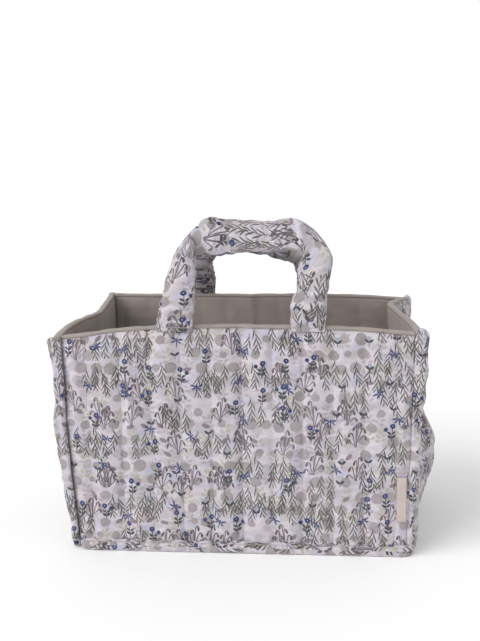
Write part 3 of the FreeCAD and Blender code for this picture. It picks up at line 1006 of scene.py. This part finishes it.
def rounded_rectangle(half_width, half_depth, radius, step):
    """Closed outline with round corners: points, outward directions and distance run."""
    points, directions = [], []
    corners = [(1, -1, -90), (1, 1, 0), (-1, 1, 90), (-1, -1, 180)]
    for (sign_x, sign_y, start), following in zip(corners, corners[1:] + corners[:1]):
        centre = (sign_x * (half_width - radius), sign_y * (half_depth - radius))
        for degrees in range(0, 90, 15):
            angle = math.radians(start + degrees)
            directions.append((math.cos(angle), math.sin(angle)))
            points.append((centre[0] + radius * math.cos(angle), centre[1] + radius * math.sin(angle)))
        angle = math.radians(start + 90)
        last = (centre[0] + radius * math.cos(angle), centre[1] + radius * math.sin(angle))
        goal = (following[0] * (half_width - radius), following[1] * (half_depth - radius))
        goal = (goal[0] + radius * math.cos(angle), goal[1] + radius * math.sin(angle))
        pieces = max(1, int(math.dist(last, goal) / step))
        for piece in range(pieces):
            share = piece / pieces
            points.append((lerp(last[0], goal[0], share), lerp(last[1], goal[1], share)))
            directions.append((math.cos(angle), math.sin(angle)))
    points = np.array(points)
    run = np.cumsum(np.hypot(*np.diff(np.vstack([points, points[:1]]), axis=0).T))
    return points, np.array(directions), np.concatenate([[0.0], run])


def make_foot():
    """Binding round the foot: a flat folded strip that stands on the floor."""
    foot = high("base_binding")
    points, directions, run = rounded_rectangle(foot.x - 1.6 * MM, foot.y - 1.4 * MM, 10 * MM, 2.0 * MM)
    steps = 20
    across, up = rounded_section(1.0, 1.0, 3.0, steps)
    distance = run[:-1]
    thick = 1.9 * MM * (1.0 + 0.2 * ripple(distance, 0.0, 15 * MM, 401))
    tall = foot.z / 2 * (1.0 + 0.05 * ripple(distance, 0.0, 33 * MM, 402))
    out = thick[:, None] * across
    rings = np.zeros((len(points), steps, 3))
    rings[..., :2] = points[:, None, :] + directions[:, None, :] * out[..., None]
    corner = smooth(np.abs(points[:, 0]), foot.x - 16 * MM, foot.x)
    corner = corner * smooth(np.abs(points[:, 1]), 0.0, foot.y)
    pucker = corner * ripple(distance, 0.0, 5 * MM, 403)
    rings[..., :2] += directions[:, None, :] * (0.7 * MM * pucker)[:, None, None]
    lift = 3.5 * MM * corner[:, None] * np.clip(-up, 0.0, 1.0)
    rings[..., 2] = FLOOR_Z + tall[:, None] * (1.0 + up) + lift
    around = np.linspace(0.0, 32 * MM, steps + 1)
    cloth = np.stack(np.broadcast_arrays(around[None, :] + 0.9, run[:, None]), axis=-1)
    front_row = [place for place in range(len(points)) if directions[place][1] < -0.99]
    back_row = [place for place in range(len(points)) if directions[place][1] > 0.99]
    sewn_rows = []
    for chosen in (front_row, back_row):
        row = rings[chosen, 0].copy()
        row[:, 2] = FLOOR_Z + foot.z - 2.2 * MM
        row[:, 1] += 0.15 * MM * np.sign(row[:, 1])
        sewn_rows.append(row)
    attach(stitches("foot_thread", sewn_rows, [(0, -1, 0), (0, 1, 0)], THREAD), "bag")
    strip = face_outwards(tube_mesh("foot_binding", rings, cloth, PRINT, closed=True))
    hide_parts("base_binding")
    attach(strip, "bag")


make_foot()


# ---------------------------------------------------------------- bottom

def make_bottom():
    """Printed underside and quilted lining floor."""
    half_x = high("base_shell").x - 1.5 * MM
    half_y = high("base_shell").y - 1.5 * MM
    x = np.linspace(-half_x, half_x, 120)[None, :]
    y = np.linspace(-half_y, half_y, 66)[:, None]
    x, y = np.broadcast_arrays(x, y)
    edge = np.minimum(half_x - np.abs(x), half_y - np.abs(y))
    under = FLOOR_Z + 0.2 * MM + 0.5 * MM * (1.0 - smooth(edge, 0.0, 10 * MM))
    under = under + 0.12 * MM * (1.0 + ripple(x, y, 40 * MM, 501))
    front = np.stack([x, y, under], axis=-1)
    back = np.stack([x, y, np.full(x.shape, FLOOR_Z + 2.2 * MM)], axis=-1)
    shell = face_outwards(sheet_mesh("bottom_shell", front, back, np.stack([x + 2.6, y], axis=-1), PRINT))
    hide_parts("base_shell")
    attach(shell, "bag")

    half_x = high("base_lining").x + 0.6 * MM
    half_y = high("base_lining").y + 2.0 * MM
    x = np.linspace(-half_x, half_x, 140)[None, :]
    y = np.linspace(-half_y, half_y, 76)[:, None]
    x, y = np.broadcast_arrays(x, y)
    edge = np.minimum(half_x - np.abs(x), half_y - np.abs(y))
    lines = np.min(np.abs(x[..., None] - np.array(quilt_lines(half_x))), axis=-1)
    puff = 1.2 * MM * np.sin(np.clip(lines / (QUILT_PITCH / 2), 0, 1) * math.pi / 2) ** 0.6
    top = BASE_Z + puff * smooth(edge, 0, 12 * MM) + 0.3 * MM * ripple(x, y, 30 * MM, 502)
    front = np.stack([x, y, top], axis=-1)
    back = np.stack([x, y, np.full(x.shape, high("base_board").z + 0.1 * MM)], axis=-1)
    floor = face_outwards(sheet_mesh("bottom_lining", front, back, np.stack([x, y], axis=-1), LINING))
    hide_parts("base_lining", "base_wadding")
    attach(floor, "bag")


make_bottom()
frame["nodes"]["base_board"].data.materials.clear()
frame["nodes"]["base_board"].data.materials.append(BOARD)


# ---------------------------------------------------------------- handles
# Stations of each padded band, seen from its own front and in millimetres: the outer edge (across, up),
# the inner edge (across, up), the thickness, and how far the station stands forward. Up is measured
# from the hinge line. The left corner of the front band is folded sharply, the leg over the bar.

FRONT_HANDLE = [
    (-84.5, -7.0, -47.5, -7.5, 4.0, 0.0), (-84.0, 2.0, -47.0, 2.0, 6.0, 0.0),
    (-82.0, 12.0, -45.5, 12.0, 10.0, 0.0), (-78.5, 26.0, -44.0, 26.0, 14.0, 0.5),
    (-74.5, 42.0, -43.5, 42.0, 15.0, 1.0), (-68.5, 57.0, -43.2, 57.0, 15.5, 2.5),
    (-62.5, 72.5, -43.4, 72.0, 14.0, 4.5), (-52.0, 86.5, -44.0, 84.0, 11.0, 4.0),
    (-47.5, 93.0, -46.5, 70.0, 9.0, -3.5), (-40.0, 100.0, -41.5, 65.5, 10.0, -4.5),
    (-29.5, 106.5, -28.0, 69.0, 13.0, -1.0), (-8.0, 105.0, -8.0, 71.5, 14.5, 0.5),
    (12.0, 103.3, 12.0, 72.0, 15.0, 0.5), (32.0, 102.0, 31.0, 72.0, 15.0, 0.5),
    (49.5, 104.0, 46.5, 73.5, 14.5, 1.5), (61.0, 100.5, 60.0, 74.0, 14.0, 2.5),
    (72.0, 94.8, 62.0, 68.0, 13.5, -1.0), (81.5, 84.0, 59.0, 60.0, 13.5, -1.0),
    (90.0, 70.0, 57.5, 53.0, 14.0, 0.0), (91.0, 57.0, 59.0, 46.0, 14.5, 0.5),
    (88.5, 40.0, 57.5, 36.0, 14.5, 0.5), (87.0, 25.0, 52.0, 24.0, 14.0, 0.0),
    (86.0, 11.0, 51.0, 11.0, 9.5, 0.0), (85.5, 1.5, 51.0, 1.5, 6.0, 0.0),
    (85.5, -7.0, 51.5, -7.0, 4.0, 0.0),
]
BACK_HANDLE = [
    (-80.5, -7.0, -45.5, -7.0, 4.0, 0.0), (-80.0, 2.0, -45.5, 2.0, 6.0, 0.0),
    (-79.0, 12.0, -44.5, 12.0, 10.0, 0.0), (-77.5, 28.0, -43.5, 27.0, 13.0, 0.0),
    (-75.5, 46.0, -43.0, 42.0, 14.0, 0.0), (-70.0, 66.0, -43.0, 55.0, 14.0, 1.0),
    (-59.0, 84.0, -38.0, 63.0, 13.5, 1.5), (-44.0, 97.0, -31.0, 68.0, 13.0, 0.0),
    (-26.0, 103.5, -22.0, 71.0, 14.0, 0.0), (-4.0, 105.0, -4.0, 72.0, 14.5, 0.0),
    (18.0, 102.5, 15.0, 70.0, 14.5, 0.0), (38.0, 98.0, 31.0, 62.5, 14.0, 0.0),
    (58.0, 89.5, 43.0, 54.5, 13.5, 1.0), (73.0, 77.0, 49.0, 48.0, 13.5, 1.0),
    (82.5, 60.0, 51.0, 41.0, 14.0, 0.0), (85.5, 42.0, 51.5, 33.5, 14.0, 0.0),
    (86.0, 26.0, 51.5, 24.0, 13.5, 0.0), (86.0, 11.0, 51.0, 11.0, 9.5, 0.0),
    (85.5, 1.5, 50.5, 1.5, 6.0, 0.0), (85.0, -7.0, 50.5, -7.0, 4.0, 0.0),
]


def make_handle(face, side, line, lean, tilts, seed):
    """One padded band from root to root, in its own plane, then leant over the bag about its hinge line.

    tilts says how far forward the outer edge of some stations stands, as where a corner is folded under.
    """
    path = spline(np.column_stack([line, [tilts.get(place, 0.0) for place in range(len(line))]]), 6) * MM
    outer, inner, thickness, forward, tilt = path[:, 0:2], path[:, 2:4], path[:, 4], path[:, 5], path[:, 6]
    centre = (outer + inner) / 2
    run = np.concatenate([[0.0], np.cumsum(np.linalg.norm(np.diff(centre, axis=0), axis=1))])
    steps = 44
    across, up = rounded_section(1.0, 1.0, 2.4, steps)
    crease = ripple(run[:, None], across[None, :] * 7 * MM, 12 * MM, seed)
    slow = ripple(run[:, None], across[None, :] * 15 * MM, 30 * MM, seed + 1)
    free = smooth(np.minimum(run, run[-1] - run), 8 * MM, 30 * MM)[:, None]
    plump = 1.0 + free * (0.09 * slow + 0.08 * crease)
    spread = (across[None, :] * (0.75 + 0.25 * plump))[..., None]
    flat = centre[:, None, :] + (outer - inner)[:, None, :] / 2 * spread
    depth = up[None, :] * thickness[:, None] / 2 * plump + forward[:, None] + across[None, :] * tilt[:, None]

    # Below the hinge line the band lies flat on the wall. Above it, it leans inwards by lean.
    rise = flat[..., 1]
    angle = math.radians(lean) * smooth(rise, -2 * MM, 16 * MM)
    above = np.maximum(rise, 0.0)
    out = depth * np.cos(angle) - above * np.sin(angle)
    z = HINGE_Z + np.minimum(rise, 0.0) + above * np.cos(angle) + depth * np.sin(angle)
    seat = lerp(HINGE_Y - 3.0 * MM, HINGE_Y - 1.2 * MM, smooth(rise, -2 * MM, 8 * MM))
    y = side * (seat + out)
    rings = np.stack([flat[..., 0], y, z], axis=-1)
    pinned = np.broadcast_to((run < 11 * MM) | (run > run[-1] - 11 * MM), (steps, len(run))).T.copy()
    seam_step = round(0.43 * steps)
    pinned[:, seam_step] = True
    faces = grid_faces(len(run), steps, closed_round=True)
    if side > 0:
        faces = [face[::-1] for face in faces]
    rings = swell(rings, faces, pinned.ravel(), 4.0, 0.04, 5.0 * MM)
    around = np.linspace(0.0, 88 * MM, steps + 1)
    cloth = np.stack(np.broadcast_arrays(around[None, :] + 5.1 + side * 0.9, run[:, None]), axis=-1)
    band = face_outwards(tube_mesh(f"{face}_handle_band", rings, cloth, PRINT))
    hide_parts(f"{face}_handle_cover", f"{face}_handle_core",
                f"{face}_handle_root_left", f"{face}_handle_root_right")
    seam = rings[:, seam_step]
    outwards = np.array((0, side, 0))
    ends = [rings[place][2:steps // 2 - 1] + outwards * 0.2 * MM for place in (3, -4)]
    sewn = stitches(f"{face}_handle_thread", [seam] + ends, [outwards] * 3, THREAD)
    for piece in (band, sewn):
        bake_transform(piece)


make_handle("front", -1, FRONT_HANDLE, 7.5, {8: 4.0, 9: 8.5, 10: 4.5}, 601)
make_handle("back", 1, BACK_HANDLE, 42.0, {}, 651)


# ---------------------------------------------------------------- side pockets

POCKET_FULLNESS = 1.25
# How far the pocket bulges, as a share of the most it does, from its foot (0) to its hem (1).
POCKET_BULGE = [(0.0, 0.0), (0.12, 0.14), (0.3, 0.45), (0.5, 0.85), (0.7, 1.0), (0.85, 0.82), (1.0, 0.46)]


def make_pocket(name, side, seed):
    """Gathered pocket panel with an elastic hem, from corner seam to corner seam."""
    wall = WALLS[2] if side < 0 else WALLS[3]
    panel_low, panel_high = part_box(f"{name}_pocket_panel")
    hem_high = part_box(f"{name}_pocket_hem")[1]
    half = panel_high.y + 5.0 * MM
    along = np.linspace(-half, half, 170)[None, :]
    share = np.linspace(0.0, 1.0, 60)[:, None]
    height = panel_low.z - 3.0 * MM + share * (hem_high.z - panel_low.z + 3.0 * MM)
    along, height = np.broadcast_arrays(along, height)
    fullness = spline(POCKET_BULGE, 8)
    fullness = np.interp(share, fullness[:, 0], fullness[:, 1])
    middle = wall.plane(along * 0, height)
    belly = (high("right_pocket_panel").x - middle - 5.0 * MM) * fullness
    arc = 1.0 - (along / half) ** 2
    end = wall.plane(along, height) + 1.4 * MM
    gather = smooth(share, 0.35, 1.0)
    ruffle = np.sin(TAU * along / (9 * MM) + 2.0 * ripple(along, 0.0, 40 * MM, seed))
    folds = (0.3 + 1.0 * gather) * MM * ruffle + 1.4 * MM * ripple(along, height * 0.4, 26 * MM, seed + 1)
    hem_line = smooth(height, hem_high.z - 9.5 * MM, hem_high.z - 7.5 * MM)
    hem_share = np.clip((height - hem_high.z + 9 * MM) / (9 * MM), 0, 1)
    channel = 0.9 * MM * hem_line * np.sin(hem_share * math.pi) ** 0.5
    x = end + belly * arc + (folds + channel) * smooth(half - np.abs(along), 0.0, 12 * MM)
    thickness = 1.5 * MM + 1.2 * channel
    front = np.stack([side * x, along, height], axis=-1)
    back = np.stack([side * (x - thickness), along, height], axis=-1)
    cloth = np.stack([along * POCKET_FULLNESS + 4.4 + side * 0.3, height], axis=-1)
    panel = face_outwards(sheet_mesh(f"{name}_gathered_pocket", front, back, cloth, PRINT))
    sewn_level = int(np.argmin(np.abs(height[:, 0] - hem_high.z + 9 * MM)))
    hem_row = front[sewn_level, 4:-4] + np.array((side * 0.3 * MM, 0, 0))
    sewn = stitches(f"{name}_pocket_thread", [hem_row], [(side, 0, 0)], THREAD, 2.6 * MM)
    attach(sewn, "bag")
    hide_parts(f"{name}_pocket_panel", f"{name}_pocket_hem", f"{name}_pocket_elastic")
    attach(panel, "bag")


make_pocket("left", -1, 701)
make_pocket("right", 1, 711)


# ---------------------------------------------------------------- label

def hairpin(width, gap, ply, steps=8):
    """Outline of a ribbon folded in two, seen on its end: the outside there and back, then the inside."""
    angles = np.linspace(math.pi / 2, 3 * math.pi / 2, steps)
    bend = -width / 2 + gap / 2 + ply
    outline = []
    for reach, turn in ((gap / 2 + ply, 1), (gap / 2, -1)):
        fold = [(bend + reach * math.cos(angle), turn * reach * math.sin(angle)) for angle in angles]
        straight = np.linspace(width / 2, bend, 9)[:-1]
        outline += [(x, turn * reach) for x in straight] + fold + [(x, -turn * reach) for x in straight[::-1]]
    return np.array(outline).T


def make_label():
    """Blank folded ribbon: two plies that meet in a round fold at the left."""
    label_low, label_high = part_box("side_label")
    middle = (label_low.y + label_high.y) / 2
    height = np.linspace(label_low.z, label_high.z, 40)
    width = label_high.x - label_low.x
    across, up = hairpin(width, 0.3 * MM, 0.5 * MM)
    x = (label_low.x + label_high.x) / 2 + across[None, :]
    lift = (label_high.x - x) / width
    wave = 0.25 * MM * ripple(height[:, None], x, 30 * MM, 801) * lift
    y = middle - up[None, :] * (1.0 + 0.5 * lift) + wave - 0.2 * MM * lift
    z = np.broadcast_to(height[:, None], y.shape)
    rings = np.stack([np.broadcast_to(x, y.shape), y, z], axis=-1)
    around = np.linspace(0.0, 4 * width, len(across) + 1)
    cloth = np.stack(np.broadcast_arrays(around[None, :], height[:, None]), axis=-1)
    ribbon = face_outwards(tube_mesh("blank_label", rings, cloth, RIBBON))
    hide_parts("side_label")
    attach(ribbon, "label")


make_label()


# ---------------------------------------------------------------- stage, light and camera

def make_stage():
    floor = bpy.data.meshes.new("floor")
    reach = 60.0
    floor.from_pydata([(-reach, -reach, 0), (reach, -reach, 0), (reach, reach, 0), (-reach, reach, 0)], [],
                      [(0, 1, 2, 3)])
    material, tree, surface = new_material("pale_floor")
    surface.inputs["Base Color"].default_value = (0.96, 0.96, 0.96, 1.0)
    surface.inputs["Roughness"].default_value = 0.9
    floor.materials.append(material)
    piece = bpy.data.objects.new("floor", floor)
    piece.location.z = CAD_LOW.z - 0.2 * MM
    bpy.context.scene.collection.objects.link(piece)


def make_sun(name, towards, strength, spread):
    """Broad soft light from one direction."""
    light = bpy.data.lights.new(name, "SUN")
    light.energy = strength
    light.angle = math.radians(spread)
    lamp = bpy.data.objects.new(name, light)
    lamp.rotation_euler = Vector(towards).to_track_quat("Z", "Y").to_euler()
    bpy.context.scene.collection.objects.link(lamp)


def make_studio_world():
    """White all round at the height of the horizon, and dimmer overhead."""
    world = bpy.data.worlds.new("studio")
    world.use_nodes = True
    tree = world.node_tree
    source = tree.nodes.new("ShaderNodeTexCoord")
    split = tree.nodes.new("ShaderNodeSeparateXYZ")
    tree.links.new(source.outputs["Generated"], split.inputs[0])
    height = ((Field(tree, split.outputs[2]) - 0.35) * 2.0).clamped()
    white = (1.0, 1.0, 1.0, 1.0)
    dimmer = (0.62, 0.62, 0.62, 1.0)
    tree.links.new(mix_colour(tree, height, white, dimmer), tree.nodes["Background"].inputs["Color"])
    bpy.context.scene.world = world


def make_camera(azimuth, elevation, roll, distance, aim, lens):
    turn = Matrix.Rotation(math.radians(azimuth), 4, "Z")
    turn = turn @ Matrix.Rotation(math.radians(90 - elevation), 4, "X")
    turn = turn @ Matrix.Rotation(math.radians(roll), 4, "Z")
    camera = bpy.data.objects.new("camera", bpy.data.cameras.new("camera"))
    camera.data.lens = lens
    camera.matrix_world = Matrix.Translation(aim) @ turn @ Matrix.Translation((0, 0, distance))
    bpy.context.scene.collection.objects.link(camera)
    bpy.context.scene.camera = camera


make_stage()
bpy.context.scene.view_settings.view_transform = "Standard"
make_studio_world()
make_sun("key", (-1.0, -0.72, 0.85), 1.9, 50.0)
make_camera(5.41, 11.92, -1.04, 0.9743, (0.001, -WALL_Y - 2 * MM, 0.248), 55.16)
